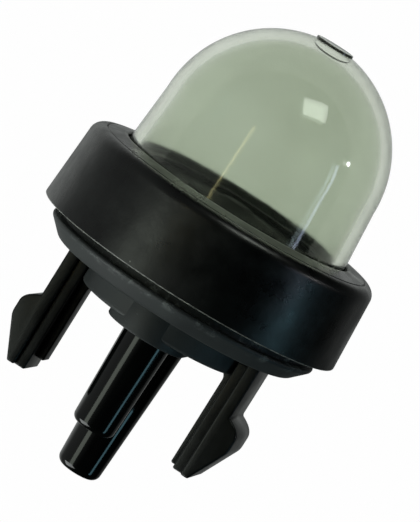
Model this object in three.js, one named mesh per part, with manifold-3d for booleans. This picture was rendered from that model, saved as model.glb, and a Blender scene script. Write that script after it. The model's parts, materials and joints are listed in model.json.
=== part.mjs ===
// A snap-in fuel primer bulb: a clear squeeze dome held on a moulded base by a snap ring,
// with two fuel nipples and a pair of barbed legs that lock it in a panel hole.
// Millimetres. +Z runs up the dome's axis, z = 0 is the underside of the base flange,
// the legs lie along X and the nipples along Y.
import * as THREE from 'three';
import { mergeVertices } from 'three/addons/utils/BufferGeometryUtils.js';
import Module from 'manifold-3d';

const wasm = await Module();
wasm.setup();

// Base flange, which seats on the panel and stands out past the retainer ring's bore
const FLANGE_OVERHANG = 0.15;
const FLANGE_THICKNESS = 1.3;
const FLANGE_EDGE_BREAK = 0.15;
const FLANGE_CHAMFER = 1.05;

// Round plug under the flange, which centres the part in the panel hole
const PLUG_R = 6.0;
const PLUG_DEPTH = 1.7;
const PLUG_EDGE_BREAK = 0.2;

// Fuel nipples, hose ends down
const NIPPLE_SPACING = 4.0;
const NIPPLE_BORE_R = 0.75;
const INLET_ROOT_R = 1.7;
const INLET_TIP_R = 1.5;
const INLET_END_DEPTH = 9.5;
const INLET_END_ROUND = 0.5;
const OUTLET_ROOT_R = 2.0;
const OUTLET_TIP_R = 1.55;
const OUTLET_END_DEPTH = 13.1;
const OUTLET_END_ROUND = 0.6;

// Long round-ended boss that carries both nipples
const BOSS_SIDE_WALL = 1.15;
const BOSS_END_WALL = 2.5;
const BOSS_STAND = 0.5;

// Snap legs
const LEG_OUTER_R = 7.4;
const LEG_THICKNESS = 0.85;
const LEG_WIDTH = 4.6;
const LEG_LENGTH = 8.75;
const LEG_EDGE_BREAK = 0.2;
const BARB_STAND = 1.08;
const BARB_TOP_DEPTH = 3.9;
const BARB_SHOULDER_SLOPE = 0.45;
const BARB_SHOULDER_DROP = 1.1;
const BARB_FLAT_LENGTH = 0.9;
const BARB_TIP_SETBACK = 0.3;
const WEB_HEIGHT = 0.7;
const WEB_WIDTH = 3.8;
const RIB_WIDTH = 1.6;
const RIB_ROOT_FILLET = 0.6;
const LEFT_RIB = { height: 0.6, stop: 1.0 };
const RIGHT_RIB = { height: 0.45, stop: 0.1 };

// Squeeze dome
const DOME_MOUTH_R = 8.25;
const DOME_SHOULDER_R = 7.86;
const DOME_WALL = 0.75;
const DOME_STRAIGHT = 4.95;
const DOME_CAP_RISE = 7.9;
const NUB_R = 1.35;
const NUB_STAND = 0.06;
const BEAD_THICKNESS = 1.6;
const BEAD_CLEARANCE = 0.15;

// Retainer ring, with its wall measured where it is thinnest
const RING_BOTTOM_R = 11.0;
const RING_TOP_R = 10.7;
const RING_WALL = 0.95;
const RING_CORNER_ROUND = 0.8;
const RING_GAP = 0.65;
const LIP_CLEARANCE = 0.1;
const LIP_THICKNESS = 1.0;
const LIP_FALL = 0.25;
const LIP_EDGE_ROUND = 0.15;
const SNAP_STAND = 0.35;
const SNAP_LEAD_IN = 0.28;
const SNAP_FLAT = 0.28;
const SNAP_BACK = 0.39;

// Body of the base between flange and dome
const RIM_HEIGHT = 2.5;
const RIM_RISE = 1.6;
const NECK_CLEARANCE = 0.2;
const SEAT_CLEARANCE = 0.1;
const FLOOR_STAND = 2.15;
const FLOOR_DISH_DEPTH = 0.4;
const FLOOR_DISH_WALL = 1.0;

// Check valve and the passages under it
const UMBRELLA_R = 3.4;
const UMBRELLA_EDGE = 0.25;
const UMBRELLA_CROWN = 0.75;
const VALVE_STEM_R = 1.4;
const VALVE_STEM_LENGTH = 2.0;
const DUCKBILL_LENGTH = 1.8;
const DUCKBILL_TIP = 0.5;
const DUCKBILL_SHOULDER = 0.14;
const VALVE_BORE_R = 0.45;
const DUCKBILL_SLIT = 0.12;
const POCKET_CLEARANCE = 0.05;
const POCKET_FREE_LENGTH = 0.9;
const CROSS_PASSAGE_R = 0.45;

// Facets round a full turn, along a rounded edge and along the dome's cap
const TURN = 64;
const NIPPLE_TURN = 28;
const ROUND_STEPS = 4;
const CAP_STEPS = 12;

// How far a cut runs past the face that it opens
const CUT_PAST = 1.0;

// Heights that follow from the sizes above
const rimBottomZ = FLANGE_THICKNESS + RIM_RISE;
const rimTopZ = rimBottomZ + RIM_HEIGHT;
const beadTopZ = rimTopZ + BEAD_THICKNESS;
const capZ = beadTopZ + DOME_STRAIGHT;
const domeInnerR = DOME_MOUTH_R - DOME_WALL;
const spigotR = domeInnerR - SEAT_CLEARANCE;
const floorRimZ = rimTopZ + FLOOR_STAND;
const floorZ = floorRimZ - FLOOR_DISH_DEPTH;
const bossDepth = PLUG_DEPTH + BOSS_STAND;
const nippleY = NIPPLE_SPACING / 2;
const pocketR = VALVE_STEM_R + POCKET_CLEARANCE;
const pocketBottomZ = floorZ - VALVE_STEM_LENGTH - DUCKBILL_LENGTH - POCKET_FREE_LENGTH;
const ringBoreR = Math.min(RING_BOTTOM_R, RING_TOP_R) - RING_WALL;
const rimR = ringBoreR - SEAT_CLEARANCE;
const beadR = ringBoreR - BEAD_CLEARANCE;
const snapR = ringBoreR - SNAP_STAND;
const flangeR = ringBoreR + FLANGE_OVERHANG;

const material = (color, roughness, opacity = 1) => new THREE.MeshStandardMaterial({
  color, roughness, metalness: 0, transparent: opacity < 1, opacity,
});
const hazyPolyurethane = material(0xacb6a6, 0.25, 0.6);
const glossyBlackNylon = material(0x17191a, 0.35);
const mattBlackNylon = material(0x2c3031, 0.6);
const blackRubber = material(0x1b1c1c, 0.7);

// Points of an arc round (r, z), angles in degrees from +r towards +z
function arc(r, z, radius, from, to, steps = ROUND_STEPS) {
  const points = [];
  for (let i = 0; i <= steps; i += 1) {
    const angle = THREE.MathUtils.degToRad(from + ((to - from) * i) / steps);
    points.push([r + radius * Math.cos(angle), z + radius * Math.sin(angle)]);
  }
  return points;
}

// A turned form: the [r, z] outline spun round the Z axis
function turned(outline, segments = TURN) {
  const geometry = new THREE.LatheGeometry(outline.map(([r, z]) => new THREE.Vector2(r, z)), segments);
  return geometry.rotateX(Math.PI / 2);
}

// A form of constant section: the outline in X and Z, drawn through the given width along Y
function drawnAlongY(shape, width, edgeBreak = 0) {
  const geometry = new THREE.ExtrudeGeometry(shape, {
    depth: width - 2 * edgeBreak,
    bevelEnabled: edgeBreak > 0,
    bevelThickness: edgeBreak,
    bevelSize: edgeBreak,
    bevelOffset: -edgeBreak,
    bevelSegments: 1,
    curveSegments: ROUND_STEPS,
  });
  return geometry.rotateX(Math.PI / 2).translate(0, (width - 2 * edgeBreak) / 2, 0);
}

// A cylinder from one height to another, standing on the line of the nipples
function post(radius, fromZ, toZ, y = 0) {
  const height = toZ - fromZ;
  const geometry = new THREE.CylinderGeometry(radius, radius, height, NIPPLE_TURN);
  return geometry.rotateX(Math.PI / 2).translate(0, y, fromZ + height / 2);
}

function solid(geometry) {
  const bare = geometry.clone();
  bare.deleteAttribute('normal');
  bare.deleteAttribute('uv');
  const merged = mergeVertices(bare, 1e-5);
  return new wasm.Manifold(new wasm.Mesh({
    numProp: 3,
    vertProperties: new Float32Array(merged.attributes.position.array),
    triVerts: new Uint32Array(merged.index.array),
  }));
}

function meshOf(manifold, name, surface) {
  const { vertProperties, triVerts } = manifold.getMesh();
  const geometry = new THREE.BufferGeometry();
  geometry.setAttribute('position', new THREE.BufferAttribute(new Float32Array(vertProperties), 3));
  geometry.setIndex(new THREE.BufferAttribute(new Uint32Array(triVerts), 1));
  geometry.computeVertexNormals();
  const mesh = new THREE.Mesh(geometry, surface);
  mesh.name = name;
  return mesh;
}

// Flange, neck, snap rim, spigot and dished floor, all round the axis
function baseBody() {
  const neckR = snapR - NECK_CLEARANCE;
  const dishR = spigotR - FLOOR_DISH_WALL;
  return turned([
    [0, -PLUG_DEPTH],
    [PLUG_R - PLUG_EDGE_BREAK, -PLUG_DEPTH],
    [PLUG_R, -PLUG_DEPTH + PLUG_EDGE_BREAK],
    [PLUG_R, 0],
    [flangeR - FLANGE_CHAMFER, 0],
    [flangeR, FLANGE_CHAMFER],
    [flangeR, FLANGE_THICKNESS - FLANGE_EDGE_BREAK],
    [flangeR - FLANGE_EDGE_BREAK, FLANGE_THICKNESS],
    [neckR, FLANGE_THICKNESS],
    [neckR, rimBottomZ],
    [rimR, rimBottomZ],
    [rimR, rimTopZ],
    [spigotR, rimTopZ],
    [spigotR, floorRimZ],
    [dishR, floorRimZ],
    [dishR, floorZ],
    [0, floorZ],
  ]);
}

// The boss reaches from inside the flange to its own flat end under the plug
function boss() {
  const halfWidth = INLET_ROOT_R + BOSS_SIDE_WALL;
  const halfLength = nippleY + INLET_ROOT_R + BOSS_END_WALL;
  const centreY = halfLength - halfWidth;
  const shape = new THREE.Shape();
  shape.absarc(0, centreY, halfWidth, 0, Math.PI, false);
  shape.absarc(0, -centreY, halfWidth, Math.PI, 2 * Math.PI, false);
  const height = bossDepth + FLANGE_THICKNESS / 2;
  const geometry = new THREE.ExtrudeGeometry(shape, {
    depth: height, bevelEnabled: false, curveSegments: TURN / 4,
  });
  return geometry.translate(0, 0, -bossDepth);
}

// A tapered nipple with a rounded end, rooted in the boss
function nipple(y, rootR, tipR, endDepth, endRound) {
  const outline = [
    [0, -endDepth],
    ...arc(tipR - endRound, -endDepth + endRound, endRound, -90, 0),
    [rootR, -bossDepth],
    [rootR, 0],
    [0, 0],
  ];
  return turned(outline, NIPPLE_TURN).translate(0, y, 0);
}

// One barbed leg: plate with barb, shallow web on its inner face and a rib on the web;
// side is 1 for +X and -1 for -X
function leg(side, rib) {
  const innerR = LEG_OUTER_R - LEG_THICKNESS;
  const barbR = LEG_OUTER_R + BARB_STAND;
  const shoulderZ = -BARB_TOP_DEPTH - BARB_SHOULDER_DROP;
  const rootZ = FLANGE_THICKNESS / 2;
  const plate = new THREE.Shape();
  plate.moveTo(innerR * side, rootZ);
  plate.lineTo(innerR * side, -LEG_LENGTH);
  plate.lineTo((LEG_OUTER_R - BARB_TIP_SETBACK) * side, -LEG_LENGTH);
  plate.lineTo(barbR * side, shoulderZ - BARB_FLAT_LENGTH);
  plate.lineTo(barbR * side, shoulderZ);
  plate.quadraticCurveTo(
    barbR * side, -BARB_TOP_DEPTH - BARB_SHOULDER_SLOPE,
    LEG_OUTER_R * side, -BARB_TOP_DEPTH,
  );
  plate.lineTo(LEG_OUTER_R * side, rootZ);

  const sunkR = innerR + LEG_THICKNESS / 2;
  const webR = innerR - WEB_HEIGHT;
  const web = new THREE.Shape();
  web.moveTo(sunkR * side, 0);
  web.lineTo(sunkR * side, -LEG_LENGTH);
  web.lineTo(webR * side, -LEG_LENGTH);
  web.lineTo(webR * side, 0);

  const ribR = webR - rib.height;
  const ribEndZ = -LEG_LENGTH + rib.stop;
  const filletX = ribR - RIB_ROOT_FILLET;
  const inner = new THREE.Shape();
  inner.moveTo(innerR * side, 0);
  inner.lineTo(innerR * side, ribEndZ);
  inner.lineTo(ribR * side, ribEndZ);
  for (const [x, z] of arc(filletX, -PLUG_DEPTH - RIB_ROOT_FILLET, RIB_ROOT_FILLET, 0, 90)) {
    inner.lineTo(x * side, z);
  }
  inner.lineTo(filletX * side, 0);

  const tipThickness = LEG_THICKNESS - BARB_TIP_SETBACK;
  const edgeBreak = Math.min(LEG_EDGE_BREAK, tipThickness / 3);
  return solid(drawnAlongY(plate, LEG_WIDTH, edgeBreak))
    .add(solid(drawnAlongY(web, WEB_WIDTH)))
    .add(solid(drawnAlongY(inner, RIB_WIDTH)));
}

// The inlet runs straight up to the floor under the umbrella;
// the outlet leaves the valve pocket through a cross passage
function passages() {
  const crossZ = pocketBottomZ + CROSS_PASSAGE_R;
  const outletTopZ = crossZ + CROSS_PASSAGE_R;
  const cross = new THREE.CylinderGeometry(CROSS_PASSAGE_R, CROSS_PASSAGE_R, nippleY, NIPPLE_TURN);
  cross.translate(0, nippleY / 2, crossZ);
  return solid(post(NIPPLE_BORE_R, -INLET_END_DEPTH - CUT_PAST, floorZ + CUT_PAST, -nippleY))
    .add(solid(post(NIPPLE_BORE_R, -OUTLET_END_DEPTH - CUT_PAST, outletTopZ, nippleY)))
    .add(solid(post(pocketR, pocketBottomZ, floorZ + CUT_PAST)))
    .add(solid(cross));
}

function base() {
  const whole = solid(baseBody())
    .add(solid(boss()))
    .add(solid(nipple(-nippleY, INLET_ROOT_R, INLET_TIP_R, INLET_END_DEPTH, INLET_END_ROUND)))
    .add(solid(nipple(nippleY, OUTLET_ROOT_R, OUTLET_TIP_R, OUTLET_END_DEPTH, OUTLET_END_ROUND)))
    .add(leg(-1, LEFT_RIB))
    .add(leg(1, RIGHT_RIB))
    .subtract(passages());
  return meshOf(whole, 'base', mattBlackNylon);
}

// A quarter of an ellipse from the dome's straight wall, of radius r, up to the axis
function domeCap(r, rise) {
  const points = [];
  for (let i = 0; i < CAP_STEPS; i += 1) {
    const angle = (Math.PI / 2) * (i / CAP_STEPS);
    points.push([r * Math.cos(angle), capZ + rise * Math.sin(angle)]);
  }
  return [...points, [0, capZ + rise]];
}

// One open shell: straight tapered wall, domed cap with a moulding nub, and the clamped bead
function bulb() {
  const outside = domeCap(DOME_SHOULDER_R, DOME_CAP_RISE).filter(([r]) => r > NUB_R);
  const inside = domeCap(DOME_SHOULDER_R - DOME_WALL, DOME_CAP_RISE - DOME_WALL).reverse();
  const nubFootZ = capZ + DOME_CAP_RISE * Math.sqrt(1 - (NUB_R / DOME_SHOULDER_R) ** 2);
  const nubTopZ = capZ + DOME_CAP_RISE + NUB_STAND;
  return meshOf(solid(turned([
    ...inside,
    [domeInnerR, beadTopZ],
    [domeInnerR, rimTopZ],
    [beadR, rimTopZ],
    [beadR, beadTopZ],
    [DOME_MOUTH_R, beadTopZ],
    ...outside,
    [NUB_R, nubFootZ],
    [NUB_R, nubTopZ],
    [0, nubTopZ],
  ])), 'bulb', hazyPolyurethane);
}

// Snap ring: flared wall, rounded top corner, lip over the bead and a snap bead under the rim
function retainerRing() {
  const bottomZ = FLANGE_THICKNESS + RING_GAP;
  const lipHoleR = DOME_MOUTH_R + LIP_CLEARANCE;
  const lipTopZ = beadTopZ + LIP_THICKNESS;
  const cornerZ = lipTopZ - LIP_FALL - RING_CORNER_ROUND;
  const snapFlatZ = bottomZ + SNAP_LEAD_IN;
  const snapBackZ = snapFlatZ + SNAP_FLAT;
  const edgeR = lipHoleR + LIP_EDGE_ROUND;
  return meshOf(solid(turned([
    [RING_BOTTOM_R, bottomZ],
    ...arc(RING_TOP_R - RING_CORNER_ROUND, cornerZ, RING_CORNER_ROUND, 0, 90),
    ...arc(edgeR, lipTopZ - LIP_EDGE_ROUND, LIP_EDGE_ROUND, 90, 180),
    [lipHoleR, beadTopZ],
    [ringBoreR, beadTopZ],
    [ringBoreR, snapBackZ + SNAP_BACK],
    [snapR, snapBackZ],
    [snapR, snapFlatZ],
    [ringBoreR, bottomZ],
    [RING_BOTTOM_R, bottomZ],
  ])), 'retainer_ring', glossyBlackNylon);
}

// Combination valve: an umbrella disc over the inlet and a duckbill in the pocket
function checkValve() {
  const stemBottomZ = floorZ - VALVE_STEM_LENGTH;
  const tipZ = stemBottomZ - DUCKBILL_LENGTH;
  const body = solid(turned([
    [0, stemBottomZ],
    [VALVE_STEM_R, stemBottomZ],
    [VALVE_STEM_R, floorZ],
    [UMBRELLA_R, floorZ],
    [UMBRELLA_R, floorZ + UMBRELLA_EDGE],
    [VALVE_STEM_R, floorZ + UMBRELLA_CROWN],
    [0, floorZ + UMBRELLA_CROWN],
  ], NIPPLE_TURN));
  const billRootR = VALVE_STEM_R - DUCKBILL_SHOULDER;
  const billRootZ = stemBottomZ + DUCKBILL_TIP;
  const bill = new THREE.Shape();
  bill.moveTo(-billRootR, billRootZ);
  bill.lineTo(-DUCKBILL_TIP / 2, tipZ);
  bill.lineTo(DUCKBILL_TIP / 2, tipZ);
  bill.lineTo(billRootR, billRootZ);
  const billWithin = solid(post(billRootR, tipZ - CUT_PAST, billRootZ));
  const wedge = solid(drawnAlongY(bill, 2 * VALVE_STEM_R)).intersect(billWithin);
  const slit = solid(new THREE.BoxGeometry(DUCKBILL_SLIT, 2 * VALVE_BORE_R, DUCKBILL_LENGTH)
    .translate(0, 0, stemBottomZ - DUCKBILL_LENGTH / 2));
  const bore = solid(post(VALVE_BORE_R, stemBottomZ, floorZ + 2 * UMBRELLA_CROWN));
  const whole = body.add(wedge).subtract(bore).subtract(slit);
  return meshOf(whole, 'check_valve', blackRubber);
}

const primerBulb = new THREE.Group();
primerBulb.add(base(), checkValve(), bulb(), retainerRing());

export default primerBulb;
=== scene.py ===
"""A snap-in fuel primer bulb: hazy clear dome, black snap ring, base with two nipples and two barbed legs.

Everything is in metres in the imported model's frame: +Z up the dome's axis, z = 0 under the base flange,
legs along X, nipples along Y. Sizes below are in millimetres and turned to metres by mm().
"""
import json
import math

import bmesh
import bpy
from mathutils import Matrix, Vector

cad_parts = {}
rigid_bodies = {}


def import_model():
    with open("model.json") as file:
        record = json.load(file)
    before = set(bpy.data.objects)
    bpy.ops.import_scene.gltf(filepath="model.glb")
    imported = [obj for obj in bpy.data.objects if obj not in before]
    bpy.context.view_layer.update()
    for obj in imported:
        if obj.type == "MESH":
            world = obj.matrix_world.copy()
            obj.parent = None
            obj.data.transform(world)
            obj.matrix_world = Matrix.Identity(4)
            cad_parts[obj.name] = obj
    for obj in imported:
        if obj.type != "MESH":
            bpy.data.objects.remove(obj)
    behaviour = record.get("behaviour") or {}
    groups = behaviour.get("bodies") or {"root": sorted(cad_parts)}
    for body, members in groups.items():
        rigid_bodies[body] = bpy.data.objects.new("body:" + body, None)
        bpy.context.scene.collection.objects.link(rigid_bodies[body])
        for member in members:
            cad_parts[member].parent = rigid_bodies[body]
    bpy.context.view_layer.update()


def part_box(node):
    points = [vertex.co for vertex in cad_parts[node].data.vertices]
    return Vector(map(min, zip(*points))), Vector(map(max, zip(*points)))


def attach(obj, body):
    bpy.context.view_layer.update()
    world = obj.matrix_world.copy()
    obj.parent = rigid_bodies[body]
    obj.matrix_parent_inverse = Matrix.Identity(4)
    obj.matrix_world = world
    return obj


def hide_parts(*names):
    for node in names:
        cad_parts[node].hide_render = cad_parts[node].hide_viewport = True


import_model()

scene = bpy.context.scene

TURN_STEPS = 192
NIPPLE_STEPS = 64


def mm(value):
    """Millimetres as metres."""
    return value * 0.001


def lowest(node):
    """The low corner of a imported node's box, in millimetres."""
    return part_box(node)[0] * 1000


def highest(node):
    """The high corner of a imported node's box, in millimetres."""
    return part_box(node)[1] * 1000


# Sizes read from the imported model, in millimetres
RING_R = highest("retainer_ring").x
RING_BOTTOM = lowest("retainer_ring").z
LIP_TOP = highest("retainer_ring").z
FLANGE_R = highest("base").x
OUTLET_END = lowest("base").z
FLOOR_RIM = highest("base").z
DOME_TOP = highest("bulb").z
BEAD_BOTTOM = lowest("bulb").z
BEAD_R = highest("bulb").x
UMBRELLA_R = highest("check_valve").x
VALVE_TOP = highest("check_valve").z

# Sizes of the ring, in millimetres
RING_TOP_R = 10.7
RING_BORE_R = 9.75
RING_CORNER = 0.8
LIP_HOLE_R = 8.35
LIP_UNDER = 7.0
LIP_FALL = 0.25
LIP_EDGE_ROUND = 0.16
RING_FOOT_ROUND = 0.1
GROOVE_R = 9.8
GROOVE_HALF = 0.07
GROOVE_DEPTH = 0.09
GROOVE_STEP = 0.02
# Pale broken bands painted along the ring's bottom edge and the lip's edge: painted edge highlights.
FOOT_EDGE_HIGHLIGHT = {"start": RING_BOTTOM + 0.09, "full": RING_BOTTOM + 0.05, "share": 0.9}
LIP_EDGE_HIGHLIGHT = {"start": LIP_TOP - 0.03, "full": LIP_TOP - 0.012, "share": 0.5}

# Sizes of the dome
MOUTH_R = 8.25
SHOULDER_R = 7.86
CAP_START = 11.95
CAP_RISE = 7.9
WALL = 0.75
WALL_SUPPORTS = (0.1, 0.2, 0.5, 1.0, 2.0, 3.0, 4.0)
BEAD_PLAY = 0.02
BEAD_FILLET = 0.05
NUB_R = 1.35
NUB_EDGE = 0.04
NUB_HOLLOW = 0.02
CLEAR_TO_Y = -1.0
CLOUDY_FROM_Y = 5.0

# Sizes of the base
FLANGE_THICKNESS = 1.3
FLANGE_CHAMFER = 1.05
FLANGE_ROUND = 0.14
CHAMFER_FOOT_ROUND = 0.5
CHAMFER_TOP_ROUND = 0.3
PALE_EDGE_WIDTH = 0.35
PLUG_R = 6.0
PLUG_DEPTH = 1.7
PLUG_ROUND = 0.25
PLUG_FILLET = 0.2
NECK_R = 9.2
SPIGOT_R = 7.4
RIM_BOTTOM = 2.9
RIM_R = 9.65
SPIGOT_ROUND = 0.2
SPIGOT_SINK = 0.3
DISH_R = 6.4
DISH_LEAN = 0.1
DISH_DEPTH = 0.4
BOSS_DEPTH = 2.2
BOSS_HALF_WIDTH = 2.85
BOSS_HALF_LENGTH = 6.2
BOSS_ROUND = 0.12

# Sizes of the nipples
NIPPLE_Y = 2.0
BORE_R = 0.75
BORE_DEPTH = 5.0
MOUTH_ROUND = 0.12
ROOT_FILLET = 0.12
NIPPLE_SUNK_TO = -1.0
INLET = {"root": 1.7, "tip": 1.5, "end": -9.5, "round": 0.5}
OUTLET = {"root": 2.0, "tip": 1.55, "end": OUTLET_END, "round": 0.6}

# Sizes of the legs
LEG_OUTER = 7.4
LEG_INNER = 6.55
LEG_WIDTH = 4.6
LEG_TIP = -8.75
LEG_TIP_OUTER = 7.1
BARB_OUTER = 8.48
BARB_TOP = -3.9
BARB_SLOPE = 0.45
BARB_SHOULDER = -5.0
BARB_FLAT_END = -5.9
WEB_INNER = 5.85
WEB_WIDTH = 3.8
WEB_ROUND = 0.12
WEB_LIFT = 0.02
RIB_WIDTH = 1.6
RIB_FILLET = 0.6
RIB_ROUND = 0.12
LEG_ROUND = 0.4
TIP_ROUND = 0.15
BARB_ROUND = 1.2
ROOT_SUNK_TO = -0.5
OVERLAP = 0.3
LEFT_RIB = {"inner": 5.25, "stop": 1.0}
RIGHT_RIB = {"inner": 5.4, "stop": 0.1}

# Sizes of the valve
VALVE_PLAY = 0.02
STEM_DROP = 2.0
STEM_R = 1.3
CROWN_R = 1.4
CROWN_EDGE = 0.15
CROWN_TOP_R = 0.9
CROWN_ROUND = 0.25
UMBRELLA_EDGE = 0.05
UMBRELLA_ROUND = 0.12


def clear_scene():
    """Removes what a new file starts with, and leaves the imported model."""
    for obj in list(bpy.data.objects):
        if obj.name in ("Cube", "Light", "Camera"):
            bpy.data.objects.remove(obj)


def linear(code):
    """An sRGB hex colour as linear RGBA."""
    channels = [int(code[i : i + 2], 16) / 255 for i in (1, 3, 5)]
    return (*(c / 12.92 if c <= 0.04045 else ((c + 0.055) / 1.055) ** 2.4 for c in channels), 1.0)


def node(tree, kind, settings=None, links=None):
    """Adds a node. Settings are its properties, or inputs by name or number; links are sockets by input."""
    made = tree.nodes.new(kind)
    for key, value in (settings or {}).items():
        if isinstance(key, str) and hasattr(made, key):
            setattr(made, key, value)
        else:
            made.inputs[key].default_value = value
    for key, socket in (links or {}).items():
        tree.links.new(socket, made.inputs[key])
    return made


def maths(tree, operation, *operands):
    """The result of a Math node. Each operand is a socket or a plain number."""
    numbers = {i: value for i, value in enumerate(operands) if isinstance(value, float)}
    links = {i: value for i, value in enumerate(operands) if i not in numbers}
    return node(tree, "ShaderNodeMath", {"operation": operation, **numbers}, links).outputs[0]


def remap(tree, value, first, last, low, high, interpolation="LINEAR"):
    """The value with first to last taken onto low to high, and held beyond them."""
    settings = {
        "interpolation_type": interpolation,
        "From Min": first,
        "From Max": last,
        "To Min": low,
        "To Max": high,
    }
    return node(tree, "ShaderNodeMapRange", settings, {"Value": value}).outputs[0]


def arc(r, z, radius, start, end, steps=8):
    """Points of an arc round (r, z), in degrees from +r towards +z."""
    angles = [math.radians(start + (end - start) * i / steps) for i in range(steps + 1)]
    return [(r + radius * math.cos(a), z + radius * math.sin(a)) for a in angles]


def rounded_corner(before, corner, after, radius, steps=6):
    """Points of the arc that rounds a corner between its neighbours, so that it meets both sides."""
    here = Vector(corner)
    back = (Vector(before) - here).normalized()
    ahead = (Vector(after) - here).normalized()
    half = back.angle(ahead) / 2
    centre = here + (back + ahead).normalized() * radius / math.sin(half)
    first = here + back * radius / math.tan(half) - centre
    last = here + ahead * radius / math.tan(half) - centre
    turn = math.atan2(first.x * last.y - first.y * last.x, first.dot(last))
    made = []
    for k in range(steps + 1):
        angle = turn * k / steps
        made.append((
            centre.x + first.x * math.cos(angle) - first.y * math.sin(angle),
            centre.y + first.x * math.sin(angle) + first.y * math.cos(angle),
        ))
    return made


def turned_form_tree():
    """Geometry Nodes: spins an outline of points in X and Z round the Z axis into one closed skin."""
    tree = bpy.data.node_groups.new("turned_form", "GeometryNodeTree")
    sockets = tree.interface.new_socket
    sockets("Geometry", in_out="INPUT", socket_type="NodeSocketGeometry")
    sockets("Outline points", in_out="INPUT", socket_type="NodeSocketInt")
    sockets("Turn steps", in_out="INPUT", socket_type="NodeSocketInt")
    sockets("Merge distance", in_out="INPUT", socket_type="NodeSocketFloat")
    sockets("Material", in_out="INPUT", socket_type="NodeSocketMaterial")
    sockets("Geometry", in_out="OUTPUT", socket_type="NodeSocketGeometry")
    given = node(tree, "NodeGroupInput").outputs
    outline, points, steps = given["Geometry"], given["Outline points"], given["Turn steps"]
    across = maths(tree, "ADD", steps, 1.0)
    grid = node(tree, "GeometryNodeMeshGrid", {}, {"Vertices X": points, "Vertices Y": across})
    index = node(tree, "GeometryNodeInputIndex").outputs[0]
    row = maths(tree, "FLOOR", maths(tree, "DIVIDE", index, across))
    column = maths(tree, "MODULO", index, across)
    angle = maths(tree, "MULTIPLY", maths(tree, "DIVIDE", column, steps), math.tau)
    position = node(tree, "GeometryNodeInputPosition").outputs[0]
    sampled = node(
        tree,
        "GeometryNodeSampleIndex",
        {"data_type": "FLOAT_VECTOR"},
        {"Geometry": outline, "Value": position, "Index": row},
    )
    spun = node(
        tree,
        "ShaderNodeVectorRotate",
        {"rotation_type": "Z_AXIS"},
        {"Vector": sampled.outputs[0], "Angle": angle},
    )
    placed = node(
        tree, "GeometryNodeSetPosition", {}, {"Geometry": grid.outputs["Mesh"], "Position": spun.outputs[0]}
    )
    merged = node(
        tree,
        "GeometryNodeMergeByDistance",
        {},
        {"Geometry": placed.outputs[0], "Distance": given["Merge distance"]},
    )
    realized = node(tree, "GeometryNodeRealizeInstances", {}, {"Geometry": merged.outputs[0]})
    finished = node(
        tree,
        "GeometryNodeSetMaterial",
        {},
        {"Geometry": realized.outputs[0], "Material": given["Material"]},
    )
    node(tree, "NodeGroupOutput", {}, {"Geometry": finished.outputs[0]})
    return tree


def plain_mesh(obj, name):
    """The evaluated object as a new plain mesh object; the first object goes."""
    evaluated = obj.evaluated_get(bpy.context.evaluated_depsgraph_get())
    mesh = bpy.data.meshes.new_from_object(evaluated)
    bpy.data.objects.remove(obj)
    mesh.name = name
    made = bpy.data.objects.new(name, mesh)
    scene.collection.objects.link(made)
    return made


def face_outwards(obj, sharp_degrees=40):
    """Merges doubles, turns every face outwards and shades smooth between sharp edges."""
    work = bmesh.new()
    work.from_mesh(obj.data)
    bmesh.ops.remove_doubles(work, verts=work.verts, dist=1e-7)
    bmesh.ops.recalc_face_normals(work, faces=work.faces)
    if work.calc_volume(signed=True) < 0:
        bmesh.ops.reverse_faces(work, faces=work.faces)
    work.to_mesh(obj.data)
    work.free()
    obj.data.shade_smooth()
    obj.data.set_sharp_from_angle(angle=math.radians(sharp_degrees))
    return obj


def turned(name, outline, material, steps=TURN_STEPS, centre=(0.0, 0.0)):
    """A turned piece from its [r, z] outline in millimetres. A closed outline ends where it starts."""
    mesh = bpy.data.meshes.new(name + "_outline")
    points = [(mm(r), 0.0, mm(z)) for r, z in outline]
    mesh.from_pydata(points, [(i, i + 1) for i in range(len(points) - 1)], [])
    obj = bpy.data.objects.new(name + "_outline", mesh)
    scene.collection.objects.link(obj)
    modifier = obj.modifiers.new("turned", "NODES")
    modifier.node_group = TURNED_FORM
    values = {
        "Outline points": len(points),
        "Turn steps": steps,
        "Merge distance": mm(0.002),
        "Material": material,
    }
    for item in TURNED_FORM.interface.items_tree:
        if item.in_out == "INPUT" and item.name in values:
            modifier[item.identifier] = values[item.name]
    made = plain_mesh(obj, name)
    made.data.transform(Matrix.Translation((mm(centre[0]), mm(centre[1]), 0)))
    return face_outwards(made)


def drawn(name, outline, half_width, bevel, material, along="Y"):
    """A piece of constant section: the outline in millimetres, drawn evenly to both sides, edges rounded."""
    work = bmesh.new()
    if along == "Y":
        corners = [work.verts.new((mm(a), mm(-half_width), mm(b))) for a, b in outline]
        push = Vector((0, mm(2 * half_width), 0))
    else:
        corners = [work.verts.new((mm(a), mm(b), mm(-half_width))) for a, b in outline]
        push = Vector((0, 0, mm(2 * half_width)))
    face = work.faces.new(corners)
    wall = bmesh.ops.extrude_face_region(work, geom=[face])
    moved = [v for v in wall["geom"] if isinstance(v, bmesh.types.BMVert)]
    bmesh.ops.translate(work, verts=moved, vec=push)
    bmesh.ops.recalc_face_normals(work, faces=work.faces)
    mesh = bpy.data.meshes.new(name)
    work.to_mesh(mesh)
    work.free()
    mesh.materials.append(material)
    obj = bpy.data.objects.new(name, mesh)
    scene.collection.objects.link(obj)
    rounding = obj.modifiers.new("rounding", "BEVEL")
    rounding.width = mm(bevel)
    rounding.segments = 4
    rounding.limit_method = "ANGLE"
    rounding.angle_limit = math.radians(50)
    rounding.use_clamp_overlap = True
    return face_outwards(plain_mesh(obj, name), 30)


def surface(name):
    """A new material with its tree, its Principled shader and Object coordinates."""
    material = bpy.data.materials.new(name)
    material.use_nodes = True
    tree = material.node_tree
    tree.nodes.clear()
    shader = node(tree, "ShaderNodeBsdfPrincipled")
    node(tree, "ShaderNodeOutputMaterial", {}, {"Surface": shader.outputs[0]})
    coords = node(tree, "ShaderNodeTexCoord").outputs["Object"]
    return material, tree, shader, coords


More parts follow.
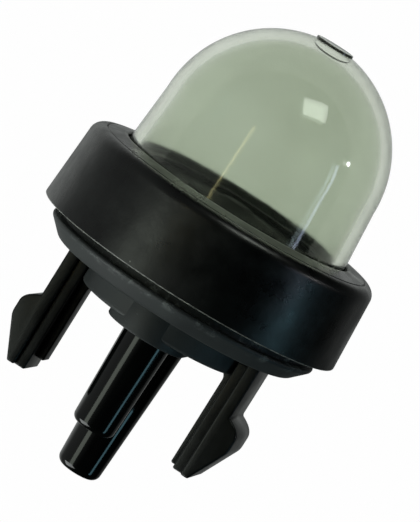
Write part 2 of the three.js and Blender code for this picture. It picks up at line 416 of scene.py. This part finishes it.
def noise(tree, coords, size_mm, detail=3.0, roughness=0.5):
    """Noise whose blotches are about size_mm across."""
    return node(
        tree,
        "ShaderNodeTexNoise",
        {"Scale": 1000.0 / size_mm, "Detail": detail, "Roughness": roughness},
        {"Vector": coords},
    ).outputs["Fac"]


def ramp(tree, factor, stops, interpolation="LINEAR"):
    """A colour ramp through (place, colour) stops."""
    made = node(tree, "ShaderNodeValToRGB", {}, {"Fac": factor})
    made.color_ramp.interpolation = interpolation
    elements = made.color_ramp.elements
    while len(elements) < len(stops):
        elements.new(1.0)
    for element, (place, colour) in zip(elements, stops):
        element.position = place
        element.color = colour
    return made.outputs[0]


def span(tree, factor, low, high):
    """Noise from its usual middle range onto low to high."""
    return remap(tree, factor, 0.3, 0.7, low, high)


def blend(tree, share, colour, pale):
    """The colour, turned to the pale one where share is 1."""
    return node(
        tree, "ShaderNodeMix", {"data_type": "RGBA", 7: linear(pale)}, {0: share, 6: colour}
    ).outputs[2]


def height_of(tree, coords):
    """The height over the base's seat, in metres."""
    return node(tree, "ShaderNodeSeparateXYZ", {}, {0: coords}).outputs["Z"]


def bump(tree, height, depth_mm, strength=1.0, onto=None):
    """A normal dented by height, laid over the normal given in onto."""
    links = {"Height": height}
    if onto is not None:
        links["Normal"] = onto
    return node(
        tree, "ShaderNodeBump", {"Strength": strength, "Distance": mm(depth_mm)}, links
    ).outputs[0]


def hazy_clear_polyurethane():
    """Moulded polyether urethane, aged a little: a grey-green cast, smooth in front, cloudy at the back."""
    material, tree, shader, coords = surface("hazy_clear_polyurethane")
    clouds = noise(tree, coords, 6.0, 2.0)
    colour = ramp(tree, clouds, [(0.3, linear("#CFD7C8")), (0.7, linear("#D7DFD1"))])
    skin = noise(tree, coords, 2.2, 2.0)
    tree.links.new(colour, shader.inputs["Base Color"])
    place = node(tree, "ShaderNodeSeparateXYZ", {}, {0: coords}).outputs
    cloudiness = remap(tree, place["Y"], mm(CLEAR_TO_Y), mm(CLOUDY_FROM_Y), 0.0, 0.14)
    rough = maths(tree, "ADD", span(tree, skin, 0.05, 0.1), cloudiness)
    tree.links.new(rough, shader.inputs["Roughness"])
    tree.links.new(bump(tree, skin, 0.02, 0.35), shader.inputs["Normal"])
    shader.inputs["IOR"].default_value = 1.5
    shader.inputs["Transmission Weight"].default_value = 0.97
    return material


def semi_gloss_black_nylon():
    """Nylon from a polished mould: black, cloudy where the melt flowed unevenly, dusty, with painted
    highlights along its bottom edge and its lip's edge.
    """
    material, tree, shader, coords = surface("semi_gloss_black_nylon")
    flow = noise(tree, coords, 3.5, 4.0, 0.6)
    grain = noise(tree, coords, 0.12, 2.0)
    base = ramp(tree, flow, [(0.3, linear("#070808")), (0.7, linear("#0E1110"))])
    specks = node(
        tree, "ShaderNodeTexVoronoi", {"Scale": 1000.0 / 1.6}, {"Vector": coords}
    ).outputs["Distance"]
    dust_and_edge_highlight = ramp(tree, specks, [(0.0, (1, 1, 1, 1)), (0.045, (0, 0, 0, 1))])
    height = height_of(tree, coords)
    edge_highlight_breakup = noise(tree, coords, 0.5, 4.0, 0.7)
    # Painted edge highlights: pale broken bands at the ring's bottom edge and the lip's edge, laid over the
    # dust.
    for wear_and_edge_highlight in (FOOT_EDGE_HIGHLIGHT, LIP_EDGE_HIGHLIGHT):
        edge = remap(tree, height, mm(wear_and_edge_highlight["start"]), mm(wear_and_edge_highlight["full"]), 0.0, wear_and_edge_highlight["share"])
        broken_edge_highlight = maths(tree, "MULTIPLY", edge, span(tree, edge_highlight_breakup, 0.0, 1.0))
        dust_and_edge_highlight = maths(tree, "MAXIMUM", dust_and_edge_highlight, broken_edge_highlight)
    tree.links.new(blend(tree, dust_and_edge_highlight, base, "#B9BCB4"), shader.inputs["Base Color"])
    tree.links.new(span(tree, flow, 0.2, 0.48), shader.inputs["Roughness"])
    waves = bump(tree, flow, 0.09, 0.5)
    tree.links.new(bump(tree, grain, 0.008, 0.4, waves), shader.inputs["Normal"])
    shader.inputs["IOR"].default_value = 1.53
    return material


def matt_black_nylon():
    """Glass-filled nylon from a blasted mould: charcoal, dull, with pale rub marks and paler blotches along
    the top of the chamfer.
    """
    material, tree, shader, coords = surface("matt_black_nylon")
    patches = noise(tree, coords, 2.5, 3.0)
    grain = noise(tree, coords, 0.09, 2.0)
    base = ramp(tree, patches, [(0.3, linear("#2A2E2F")), (0.7, linear("#363B3B"))])
    drawn_out = node(
        tree, "ShaderNodeMapping", {"Scale": (1.0, 1.0, 5.0)}, {"Vector": coords}
    ).outputs[0]
    rubs = noise(tree, drawn_out, 0.9, 5.0, 0.7)
    wear_and_edge_highlight = ramp(tree, rubs, [(0.68, (0, 0, 0, 1)), (0.76, (1, 1, 1, 1))])
    # Paler blotches in a band along the top of the flange's chamfer.
    edge = remap(
        tree, height_of(tree, coords), mm(FLANGE_CHAMFER - PALE_EDGE_WIDTH), mm(FLANGE_CHAMFER), 0.0, 1.0
    )
    edge_mottle = noise(tree, coords, 1.4, 6.0, 0.75)
    pale_edge_blotches = ramp(tree, edge_mottle, [(0.53, (0, 0, 0, 1)), (0.62, (1, 1, 1, 1))])
    pale = maths(tree, "MAXIMUM", wear_and_edge_highlight, maths(tree, "MULTIPLY", edge, pale_edge_blotches))
    tree.links.new(blend(tree, pale, base, "#6E7472"), shader.inputs["Base Color"])
    tree.links.new(span(tree, patches, 0.5, 0.64), shader.inputs["Roughness"])
    tree.links.new(bump(tree, grain, 0.012, 0.6), shader.inputs["Normal"])
    shader.inputs["IOR"].default_value = 1.53
    return material


def polished_black_nylon():
    """The same nylon where the mould's cores are polished, on the nipples: near black and glassy."""
    material, tree, shader, coords = surface("polished_black_nylon")
    drawn_out = node(
        tree, "ShaderNodeMapping", {"Scale": (1.0, 1.0, 0.15)}, {"Vector": coords}
    ).outputs[0]
    streaks = noise(tree, drawn_out, 0.5, 2.0)
    base = ramp(tree, streaks, [(0.3, linear("#070808")), (0.7, linear("#0C0E0D"))])
    tree.links.new(base, shader.inputs["Base Color"])
    tree.links.new(span(tree, streaks, 0.07, 0.13), shader.inputs["Roughness"])
    tree.links.new(bump(tree, streaks, 0.01, 0.2), shader.inputs["Normal"])
    shader.inputs["IOR"].default_value = 1.53
    return material


def darker_inner_nylon():
    """The same nylon inside the pump, much darker than outside and almost without sheen."""
    material, tree, shader, coords = surface("darker_inner_nylon")
    inner_blotches = noise(tree, coords, 1.8, 3.0)
    # Much darker than the same nylon outside the pump, blotched a little.
    base = ramp(tree, inner_blotches, [(0.3, linear("#060707")), (0.7, linear("#151612"))])
    tree.links.new(base, shader.inputs["Base Color"])
    tree.links.new(span(tree, inner_blotches, 0.5, 0.7), shader.inputs["Roughness"])
    tree.links.new(bump(tree, inner_blotches, 0.01, 0.3), shader.inputs["Normal"])
    shader.inputs["Specular IOR Level"].default_value = 0.08
    return material


def satin_black_nylon():
    """The same nylon on the legs: satin, a little greener where the light catches its rounded edges."""
    material, tree, shader, coords = surface("satin_black_nylon")
    patches = noise(tree, coords, 1.6, 3.0)
    grain = noise(tree, coords, 0.1, 2.0)
    base = ramp(tree, patches, [(0.3, linear("#0B0D0C")), (0.7, linear("#131615"))])
    tree.links.new(base, shader.inputs["Base Color"])
    tree.links.new(span(tree, patches, 0.28, 0.4), shader.inputs["Roughness"])
    tree.links.new(bump(tree, grain, 0.01, 0.4), shader.inputs["Normal"])
    shader.inputs["IOR"].default_value = 1.53
    shader.inputs["Specular IOR Level"].default_value = 0.36
    return material


def black_fluorosilicone():
    """Compression-moulded valve rubber: soft black with a dusty bloom."""
    material, tree, shader, coords = surface("black_fluorosilicone")
    bloom = noise(tree, coords, 0.8, 3.0)
    base = ramp(tree, bloom, [(0.3, linear("#0C0D0D")), (0.7, linear("#161818"))])
    tree.links.new(base, shader.inputs["Base Color"])
    tree.links.new(span(tree, bloom, 0.6, 0.75), shader.inputs["Roughness"])
    tree.links.new(bump(tree, bloom, 0.01, 0.3), shader.inputs["Normal"])
    shader.inputs["Specular IOR Level"].default_value = 0.15
    return material


def dome_wall(heights, inward):
    """Points of the straight tapered wall at heights above the lip's underside."""
    fall = (MOUTH_R - SHOULDER_R) / (CAP_START - LIP_UNDER)
    return [(MOUTH_R - inward - h * fall, LIP_UNDER + h) for h in heights]


def dome_outline():
    """Outer wall, cap and nub, then back down the inner wall to the clamped bead."""
    cap = [
        (SHOULDER_R * math.cos(a), CAP_START + CAP_RISE * math.sin(a))
        for a in (math.radians(90 * i / 48) for i in range(49))
    ]
    outer = [(r, z) for r, z in cap if r > NUB_R + NUB_EDGE]
    narrower = (SHOULDER_R - WALL) / SHOULDER_R
    lower = (CAP_RISE - WALL) / CAP_RISE
    inner = [(r * narrower, CAP_START + (z - CAP_START) * lower) for r, z in reversed(cap)]
    inner[0] = (0.0, inner[0][1])
    foot = CAP_START + CAP_RISE * math.sqrt(1 - (NUB_R / SHOULDER_R) ** 2)
    return [
        *inner,
        *dome_wall(reversed(WALL_SUPPORTS), WALL),
        (MOUTH_R - WALL, LIP_UNDER),
        (MOUTH_R - WALL, BEAD_BOTTOM),
        (BEAD_R, BEAD_BOTTOM),
        (BEAD_R, LIP_UNDER - BEAD_PLAY),
        (MOUTH_R + BEAD_FILLET, LIP_UNDER - BEAD_PLAY),
        *dome_wall(WALL_SUPPORTS, 0.0),
        *outer,
        (NUB_R, foot),
        *arc(NUB_R - NUB_EDGE, DOME_TOP - NUB_EDGE, NUB_EDGE, 0, 90, 4),
        (0.0, DOME_TOP - NUB_HOLLOW),
    ]


def ring_outline():
    """Flared wall, rounded corner, a fine groove, the sloping lip with its rounded edge, and the bore."""
    corner_z = LIP_TOP - LIP_FALL - RING_CORNER
    slope = LIP_FALL / (RING_TOP_R - RING_CORNER - LIP_HOLE_R)
    groove_z = LIP_TOP - (GROOVE_R - LIP_HOLE_R) * slope
    foot, edge = RING_FOOT_ROUND, LIP_EDGE_ROUND
    return [
        (RING_BORE_R, RING_BOTTOM),
        *arc(RING_R - foot, RING_BOTTOM + foot, foot, -90, 0, 4),
        *arc(RING_TOP_R - RING_CORNER, corner_z, RING_CORNER, 0, 86, 14),
        (GROOVE_R + GROOVE_HALF, groove_z),
        (GROOVE_R, groove_z - GROOVE_DEPTH),
        (GROOVE_R - GROOVE_HALF, groove_z + GROOVE_STEP),
        *arc(LIP_HOLE_R + edge, LIP_TOP - edge, edge, 80, 180, 8),
        (LIP_HOLE_R, LIP_UNDER),
        (RING_BORE_R, LIP_UNDER),
        (RING_BORE_R, RING_BOTTOM),
    ]


def base_outline():
    """Plug, flange, neck and snap rim."""
    inside = (FLANGE_R - 2, 0)
    chamfer_foot = (FLANGE_R - FLANGE_CHAMFER, 0)
    chamfer_top = (FLANGE_R, FLANGE_CHAMFER)
    flange_top = (FLANGE_R, FLANGE_THICKNESS)
    edge = FLANGE_ROUND
    return [
        (0.0, -PLUG_DEPTH),
        *arc(PLUG_R - PLUG_ROUND, -PLUG_DEPTH + PLUG_ROUND, PLUG_ROUND, -90, 0, 6),
        *arc(PLUG_R + PLUG_FILLET, -PLUG_FILLET, PLUG_FILLET, 180, 90, 5),
        *rounded_corner(inside, chamfer_foot, chamfer_top, CHAMFER_FOOT_ROUND),
        *rounded_corner(chamfer_foot, chamfer_top, flange_top, CHAMFER_TOP_ROUND),
        *arc(FLANGE_R - edge, FLANGE_THICKNESS - edge, edge, 0, 90, 5),
        (NECK_R, FLANGE_THICKNESS),
        (NECK_R, RIM_BOTTOM),
        (RIM_R, RIM_BOTTOM),
        (RIM_R, BEAD_BOTTOM - BEAD_PLAY),
        (0.0, BEAD_BOTTOM - BEAD_PLAY),
    ]


def pump_floor_outline():
    """The spigot inside the dome and its dished top."""
    edge = SPIGOT_ROUND
    return [
        (0.0, BEAD_BOTTOM - SPIGOT_SINK),
        (SPIGOT_R, BEAD_BOTTOM - SPIGOT_SINK),
        *arc(SPIGOT_R - edge, FLOOR_RIM - edge, edge, 0, 90, 5),
        (DISH_R, FLOOR_RIM),
        (DISH_R - DISH_LEAN, FLOOR_RIM - DISH_DEPTH),
        (0.0, FLOOR_RIM - DISH_DEPTH),
    ]


def nipple_outline(sizes):
    """A tapered tube with a rounded mouth, closed at the bottom of its bore."""
    end, tip, corner = sizes["end"], sizes["tip"], sizes["round"]
    foot = sizes["root"] + ROOT_FILLET
    return [
        (0.0, end + BORE_DEPTH),
        (BORE_R, end + BORE_DEPTH),
        *arc(BORE_R + MOUTH_ROUND, end + MOUTH_ROUND, MOUTH_ROUND, 180, 270, 4),
        *arc(tip - corner, end + corner, corner, -90, 0, 12),
        *arc(foot, -BOSS_DEPTH - ROOT_FILLET, ROOT_FILLET, 180, 90, 6),
        (foot, NIPPLE_SUNK_TO),
        (0.0, NIPPLE_SUNK_TO),
    ]


def leg_outline(side):
    """The plate with its barb: sloping rounded shoulder, short flat, long lead-in taper to the tip."""
    start, pull, stop = (
        Vector((BARB_OUTER, BARB_SHOULDER)),
        Vector((BARB_OUTER, BARB_TOP - BARB_SLOPE)),
        Vector((LEG_OUTER, BARB_TOP)),
    )
    steps = 14
    shoulder = [
        tuple(start * (1 - t) ** 2 + pull * 2 * t * (1 - t) + stop * t**2)
        for t in (i / steps for i in range(steps + 1))
    ]
    tip = (LEG_TIP_OUTER, LEG_TIP)
    flat_end = (BARB_OUTER, BARB_FLAT_END)
    points = [
        (LEG_INNER, FLANGE_THICKNESS / 2),
        (LEG_INNER, LEG_TIP),
        *rounded_corner((LEG_INNER, LEG_TIP), tip, flat_end, TIP_ROUND),
        *rounded_corner(tip, flat_end, start, BARB_ROUND),
        *shoulder,
        (LEG_OUTER, FLANGE_THICKNESS / 2),
    ]
    return [(side * r, z) for r, z in points]


def web_outline(side):
    """The shallow thickening down the middle of the leg's inner face."""
    points = [
        (LEG_INNER + OVERLAP, ROOT_SUNK_TO),
        (LEG_INNER + OVERLAP, LEG_TIP + WEB_LIFT),
        (WEB_INNER, LEG_TIP + WEB_LIFT),
        (WEB_INNER, ROOT_SUNK_TO),
    ]
    return [(side * r, z) for r, z in points]


def rib_outline(side, rib):
    """The rib on the web, with the fillet that joins it to the plug."""
    foot = LEG_TIP + rib["stop"]
    start = rib["inner"] - RIB_FILLET
    corner = (rib["inner"], foot)
    points = [
        (WEB_INNER + OVERLAP, ROOT_SUNK_TO),
        (WEB_INNER + OVERLAP, foot),
        *rounded_corner((WEB_INNER, foot), corner, (rib["inner"], -PLUG_DEPTH), RIB_ROUND),
        *arc(start, -PLUG_DEPTH - RIB_FILLET, RIB_FILLET, 0, 90, 8),
        (start, ROOT_SUNK_TO),
    ]
    return [(side * r, z) for r, z in points]


def boss_outline():
    """A long boss with round ends, seen from above."""
    centre = BOSS_HALF_LENGTH - BOSS_HALF_WIDTH
    front = arc(0, centre, BOSS_HALF_WIDTH, 0, 180, 32)
    back = arc(0, -centre, BOSS_HALF_WIDTH, 180, 360, 32)
    return front + back


def valve_outline():
    """The umbrella's thin edge rises to a crown over the stem."""
    seat = FLOOR_RIM - DISH_DEPTH + VALVE_PLAY
    return [
        (0.0, seat - STEM_DROP),
        (STEM_R, seat - STEM_DROP),
        (CROWN_R, seat),
        (UMBRELLA_R - UMBRELLA_EDGE, seat),
        *arc(UMBRELLA_R - UMBRELLA_ROUND, seat + UMBRELLA_ROUND, UMBRELLA_ROUND, -60, 90, 6),
        (CROWN_R, VALVE_TOP - CROWN_EDGE),
        *arc(CROWN_TOP_R, VALVE_TOP - CROWN_ROUND, CROWN_ROUND, 60, 90, 4),
        (0.0, VALVE_TOP),
    ]


def own(piece, slot, *nodes):
    """The piece rides on the part's one body and stands for nodes, which it hides. The slot is not used."""
    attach(piece, "root")
    if nodes:
        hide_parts(*nodes)
    return piece


def build_pieces():
    """Makes every piece with its material."""
    matt = matt_black_nylon()
    satin = satin_black_nylon()
    polished = polished_black_nylon()
    own(turned("dome", dome_outline(), hazy_clear_polyurethane()), "bulb", "bulb")
    own(turned("snap_ring", ring_outline(), semi_gloss_black_nylon()), "ring", "retainer_ring")
    own(turned("base_body", base_outline(), matt), "base", "base")
    own(turned("pump_floor", pump_floor_outline(), darker_inner_nylon()), "base", "base")
    boss = drawn("base_boss", boss_outline(), BOSS_DEPTH / 2, BOSS_ROUND, matt, along="Z")
    boss.data.transform(Matrix.Translation((0, 0, mm(-BOSS_DEPTH / 2))))
    own(boss, "base", "base")
    for name, y, sizes in (("inlet_nipple", -NIPPLE_Y, INLET), ("outlet_nipple", NIPPLE_Y, OUTLET)):
        own(turned(name, nipple_outline(sizes), polished, NIPPLE_STEPS, (0, y)), "base", "base")
    for name, side, rib in (("left", -1, LEFT_RIB), ("right", 1, RIGHT_RIB)):
        for part, outline, width, rounding in (
            ("_leg", leg_outline(side), LEG_WIDTH, LEG_ROUND),
            ("_leg_web", web_outline(side), WEB_WIDTH, WEB_ROUND),
            ("_leg_rib", rib_outline(side, rib), RIB_WIDTH, RIB_ROUND),
        ):
            own(drawn(name + part, outline, width / 2, rounding, satin), "base", "base")
    own(turned("valve", valve_outline(), black_fluorosilicone(), NIPPLE_STEPS), "valve", "check_valve")


# Camera: azimuth and elevation of the photograph's view, its roll, distance and scale
IMAGE_WIDTH = 420
IMAGE_HEIGHT = 522
VIEW_AZIMUTH = 9.0
VIEW_ELEVATION = 7.0
VIEW_ROLL = 32.0
VIEW_DISTANCE = 0.30
PIXELS_PER_MM = 15.35
ORIGIN_PIXEL = (174.0, 304.7)
SENSOR = 36.0


def camera():
    """The photograph's view, rolled and aimed beside the part's origin."""
    azimuth, elevation, roll = map(math.radians, (VIEW_AZIMUTH, VIEW_ELEVATION, VIEW_ROLL))
    back = Vector(
        (
            math.sin(azimuth) * math.cos(elevation),
            -math.cos(azimuth) * math.cos(elevation),
            math.sin(elevation),
        )
    )
    level_right = Vector((math.cos(azimuth), math.sin(azimuth), 0))
    level_up = back.cross(level_right)
    right = level_right * math.cos(roll) + level_up * math.sin(roll)
    up = level_up * math.cos(roll) - level_right * math.sin(roll)
    offset_x = (IMAGE_WIDTH / 2 - ORIGIN_PIXEL[0]) / PIXELS_PER_MM
    offset_y = (ORIGIN_PIXEL[1] - IMAGE_HEIGHT / 2) / PIXELS_PER_MM
    aim = right * mm(offset_x) + up * mm(offset_y)
    data = bpy.data.cameras.new("camera")
    obj = bpy.data.objects.new("camera", data)
    scene.collection.objects.link(obj)
    turn = Matrix((right, up, back)).transposed()
    obj.matrix_world = Matrix.Translation(aim + back * VIEW_DISTANCE) @ turn.to_4x4()
    data.sensor_width = SENSOR
    data.lens = PIXELS_PER_MM * 1000 * VIEW_DISTANCE * SENSOR / IMAGE_HEIGHT
    data.clip_start = 0.01
    data.clip_end = 20
    scene.camera = obj


def around(angle, lift, distance):
    """A place round the axis: degrees right of the view, degrees up towards the dome's top, metres."""
    turn = math.radians(VIEW_AZIMUTH + angle)
    rise = math.radians(lift)
    level = Vector((math.sin(turn), -math.cos(turn), 0)) * math.cos(rise)
    return (level + Vector((0, 0, math.sin(rise)))) * distance


def lamp(name, place, size, radiance, colour):
    """A soft rectangular lamp, its long side along the dome's axis, that looks at the part evenly bright."""
    data = bpy.data.lights.new(name, "AREA")
    data.shape = "RECTANGLE"
    data.size, data.size_y = size
    data.energy = radiance * math.pi * size[0] * size[1]
    data.color = linear(colour)[:3]
    obj = bpy.data.objects.new(name, data)
    scene.collection.objects.link(obj)
    obj.location = place
    obj.rotation_mode = "QUATERNION"
    obj.rotation_quaternion = (place - Vector((0, 0, mm(5)))).to_track_quat("Z", "Y")


def lights():
    """Soft windows that the black pieces and the dome mirror as streaks, and one small bright spot."""
    lamp("left_window", around(-41, -17, 0.3), (0.10, 0.17), 1.7, "#EAF6E6")
    lamp("warm_strip", around(-25, 7, 0.5), (0.014, 0.17), 4.0, "#F4E9A8")
    lamp("right_strip", around(68, 9, 0.5), (0.028, 0.20), 5.0, "#D6E6FF")
    lamp("low_right_strip", around(74, -18, 0.3), (0.05, 0.16), 2.3, "#98D4E6")
    lamp("small_right", around(81, 23, 0.5), (0.022, 0.022), 60.0, "#FFFFFF")
    lamp("top_window", around(28, 60, 0.45), (0.17, 0.13), 5.0, "#F6FFF4")
    lamp("low_window", around(-62, -52, 0.2), (0.16, 0.12), 3.6, "#EEF4F2")


def white_for_camera(tree, seen, otherwise, where):
    """Mixes the plain white seen directly or straight through the clear dome with what lights the object."""
    path = node(tree, "ShaderNodeLightPath").outputs
    place = node(tree, "ShaderNodeTexCoord").outputs[where]
    behind = node(
        tree, "ShaderNodeVectorMath", {"operation": "DOT_PRODUCT", 1: around(180, 0, 1.0)}, {0: place}
    ).outputs["Value"]
    onward = maths(tree, "GREATER_THAN", behind, 0.0)
    straight = maths(tree, "GREATER_THAN", onward, path["Diffuse Depth"])
    through = maths(tree, "MULTIPLY", path["Is Transmission Ray"], straight)
    either = maths(tree, "MAXIMUM", path["Is Camera Ray"], through)
    return node(tree, "ShaderNodeMixShader", {}, {0: either, 1: otherwise, 2: seen}).outputs[0]


def world():
    """White where the camera looks; for the part a dim room to the left, walls behind it, dark elsewhere."""
    made = bpy.data.worlds.new("world")
    scene.world = made
    made.use_nodes = True
    tree = made.node_tree
    tree.nodes.clear()
    seen = node(tree, "ShaderNodeBackground", {"Color": (1, 1, 1, 1), "Strength": 1.0})
    direction = node(tree, "ShaderNodeTexCoord").outputs["Generated"]
    strength = 0.0
    for toward, first, last, low, high in (
        (around(-90, 0, 1.0), 0.0, 1.0, 0.004, 0.24),
        (around(-158, 4, 1.0), 0.6, 0.97, 0.0, 0.5),
        (around(152, 0, 1.0), 0.8, 1.0, 0.0, 0.14),
    ):
        facing = node(
            tree, "ShaderNodeVectorMath", {"operation": "DOT_PRODUCT", 1: toward}, {0: direction}
        ).outputs["Value"]
        strength = maths(tree, "ADD", strength, remap(tree, facing, first, last, low, high, "SMOOTHSTEP"))
    lit = node(tree, "ShaderNodeBackground", {"Color": linear("#E8EDEA")}, {"Strength": strength})
    mixed = white_for_camera(tree, seen.outputs[0], lit.outputs[0], "Generated")
    node(tree, "ShaderNodeOutputWorld", {}, {"Surface": mixed})


# Floor, in metres
FLOOR_DROP = 0.3
FLOOR_HALF_SIZE = 9.0


def floor():
    """A plain white floor, well below the part, which is held by its flange in use."""
    size, z = FLOOR_HALF_SIZE, -FLOOR_DROP
    corners = [(-size, -size, z), (size, -size, z), (size, size, z), (-size, size, z)]
    mesh = bpy.data.meshes.new("floor")
    mesh.from_pydata(corners, [], [(0, 1, 2, 3)])
    obj = bpy.data.objects.new("floor", mesh)
    scene.collection.objects.link(obj)
    material = bpy.data.materials.new("pale_floor")
    material.use_nodes = True
    tree = material.node_tree
    tree.nodes.clear()
    paint = node(tree, "ShaderNodeBsdfDiffuse", {"Color": linear("#FFFFFF")})
    shade = node(tree, "ShaderNodeBsdfTransparent")
    glow = node(tree, "ShaderNodeEmission", {"Color": (1, 1, 1, 1), "Strength": 1.06})
    share = node(tree, "ShaderNodeMixShader", {0: 0.93}, {1: paint.outputs[0], 2: glow.outputs[0]})
    mixed = white_for_camera(tree, share.outputs[0], shade.outputs[0], "Object")
    node(tree, "ShaderNodeOutputMaterial", {}, {"Surface": mixed})
    mesh.materials.append(material)


clear_scene()
TURNED_FORM = turned_form_tree()
build_pieces()
camera()
lights()
world()
floor()

scene.view_settings.view_transform = "Standard"
